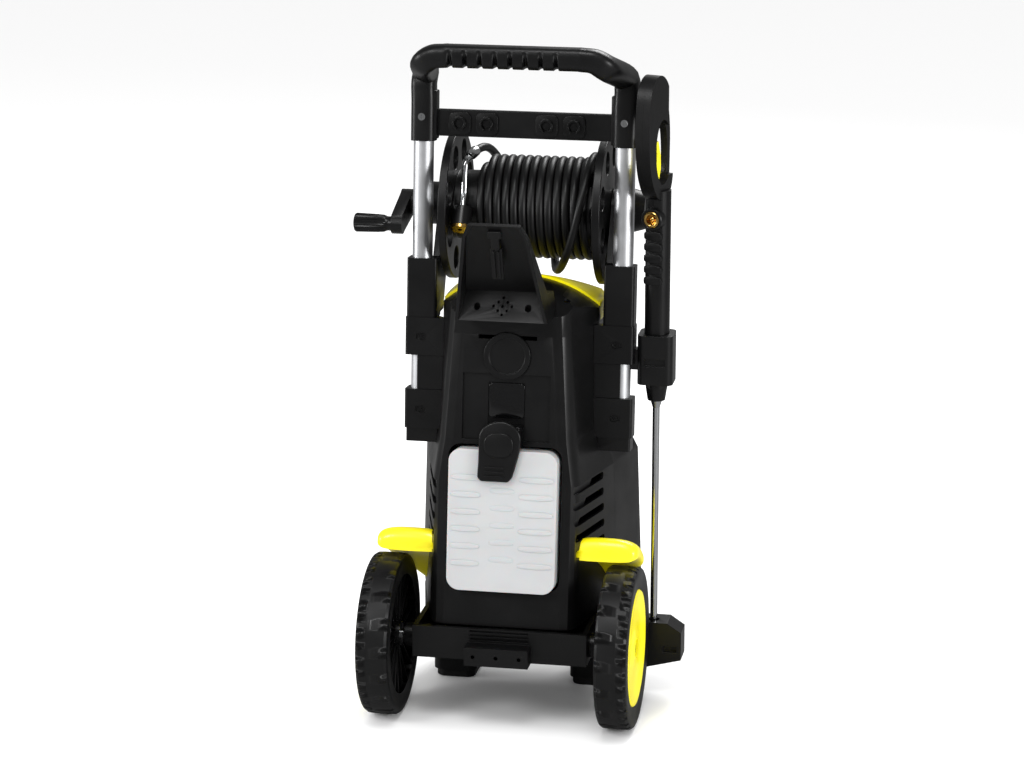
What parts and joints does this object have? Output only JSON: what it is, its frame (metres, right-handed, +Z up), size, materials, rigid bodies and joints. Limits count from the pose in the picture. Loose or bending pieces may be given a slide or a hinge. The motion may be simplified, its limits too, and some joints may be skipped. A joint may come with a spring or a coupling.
{
  "type": "pressure washer",
  "caption": "Wheeled electric pressure washer with mast handle, hose reel and crank, trigger gun with lance in its holder, and a slide-out detergent tank.",
  "frame": {"origin": "on the floor under the middle of the machine's box, without the hose", "axes": "+Z up, -Y towards the operator, who stands on the wheel and tank side, +X to the operator's right"},
  "size_m": [0.417, 0.376, 0.827],
  "materials": {
    "black_plastic": "satin moulded, fine texture",
    "yellow_plastic": "glossy moulded",
    "tank_plastic": "translucent blow-moulded",
    "aluminium": "satin anodised",
    "steel": "bright plated",
    "brass": "machined",
    "rubber": "matte",
    "hose_rubber": "smooth satin cover",
    "tyre": "moulded blocks",
    "motor_metal": "painted",
    "pump_metal": "die-cast"
  },
  "bodies": {
    "root": {"base_frame": "black_plastic", "front_feet": "rubber", "rear_housing": "black_plastic", "front_housing": "black_plastic", "top_cover": "black_plastic", "front_hood": "yellow_plastic", "fender_left": "yellow_plastic", "fender_right": "yellow_plastic", "cord_hook": "black_plastic", "round_cap": "black_plastic", "mast_tube_left": "aluminium", "mast_tube_right": "aluminium", "tube_plugs": "black_plastic", "handle_arch": "black_plastic", "cross_bar": "black_plastic", "nozzle_clips": "black_plastic", "frame_screws": "steel", "tube_sleeve_left": "black_plastic", "tube_sleeve_right": "black_plastic", "upper_clamp_left": "black_plastic", "upper_clamp_right": "black_plastic", "lower_clamp_left": "black_plastic", "lower_clamp_right": "black_plastic", "filler_plates": "black_plastic", "reel_bracket_left": "black_plastic", "reel_bracket_right": "black_plastic", "gun_cradle": "black_plastic", "lance_foot": "black_plastic", "motor": "motor_metal", "pump": "pump_metal", "switch_box": "black_plastic", "water_inlet": "black_plastic", "pressure_outlet": "brass", "cord_gland": "rubber", "wheel_axle": "steel", "axle_clips": "steel"},
    "wheel_left": {"tyre_left": "tyre", "hub_left": "yellow_plastic"},
    "wheel_right": {"tyre_right": "tyre", "hub_right": "yellow_plastic"},
    "reel": {"reel_drum": "black_plastic", "hose_winding": "hose_rubber", "hose_loop": "hose_rubber", "hose_stem": "steel", "coupling_ring": "brass", "hose_coupling": "black_plastic", "crank_arm": "black_plastic"},
    "crank_grip": {"crank_knob": "black_plastic"},
    "gun": {"gun_shell_left": "black_plastic", "gun_shell_right": "black_plastic", "gun_inlet": "brass", "lance_tube": "steel", "lance_tip": "brass"},
    "trigger": {"gun_trigger": "yellow_plastic"},
    "nut": {"lance_nut": "black_plastic"},
    "tank": {"detergent_tank": "tank_plastic"},
    "closure": {"tank_closure": "black_plastic"},
    "dial": {"power_dial": "yellow_plastic"},
    "fan": {"motor_fan": "black_plastic"}
  },
  "joints": [
    {"name": "wheel_left_spin", "type": "hinge", "parent": "root", "child": "wheel_left", "pos_m": [-0.146, -0.088, 0.1], "axis": [1, 0, 0], "continuous": true},
    {"name": "wheel_right_spin", "type": "hinge", "parent": "root", "child": "wheel_right", "pos_m": [0.146, -0.088, 0.1], "axis": [1, 0, 0], "continuous": true},
    {"name": "reel_spin", "type": "hinge", "parent": "root", "child": "reel", "pos_m": [0, 0.095, 0.606], "axis": [1, 0, 0], "continuous": true},
    {"name": "crank_knob_spin", "type": "hinge", "parent": "reel", "child": "crank_grip", "pos_m": [-0.188, 0.037, 0.59], "axis": [1, 0, 0], "continuous": true},
    {"name": "gun_lift", "type": "slide", "parent": "root", "child": "gun", "axis": [0, 0, 1], "range_m": [0, 0.1]},
    {"name": "trigger_pull", "type": "hinge", "parent": "gun", "child": "trigger", "pos_m": [0.16337, 0.02073, 0.666], "axis": [0.9511, -0.309, 0], "range_deg": [0, 10], "stiffness_Nm_per_rad": 0.4, "springref_deg": -8.59},
    {"name": "lance_nut_spin", "type": "hinge", "parent": "gun", "child": "nut", "pos_m": [0.168, 0.035, 0.393], "axis": [0, 0, 1], "continuous": true},
    {"name": "tank_slide", "type": "slide", "parent": "root", "child": "tank", "axis": [0, -0.9918, 0.1276], "range_m": [0, 0.12]},
    {"name": "closure_lift", "type": "slide", "parent": "tank", "child": "closure", "axis": [0, 0.1276, 0.9918], "range_m": [0, 0.03]},
    {"name": "dial_turn", "type": "hinge", "parent": "root", "child": "dial", "pos_m": [0, 0.12, 0.418], "axis": [0, 1, 0], "range_deg": [0, 90]},
    {"name": "motor_fan_spin", "type": "hinge", "parent": "root", "child": "fan", "pos_m": [0, 0.05, 0.35], "axis": [0, 0, 1], "continuous": true}
  ]
}
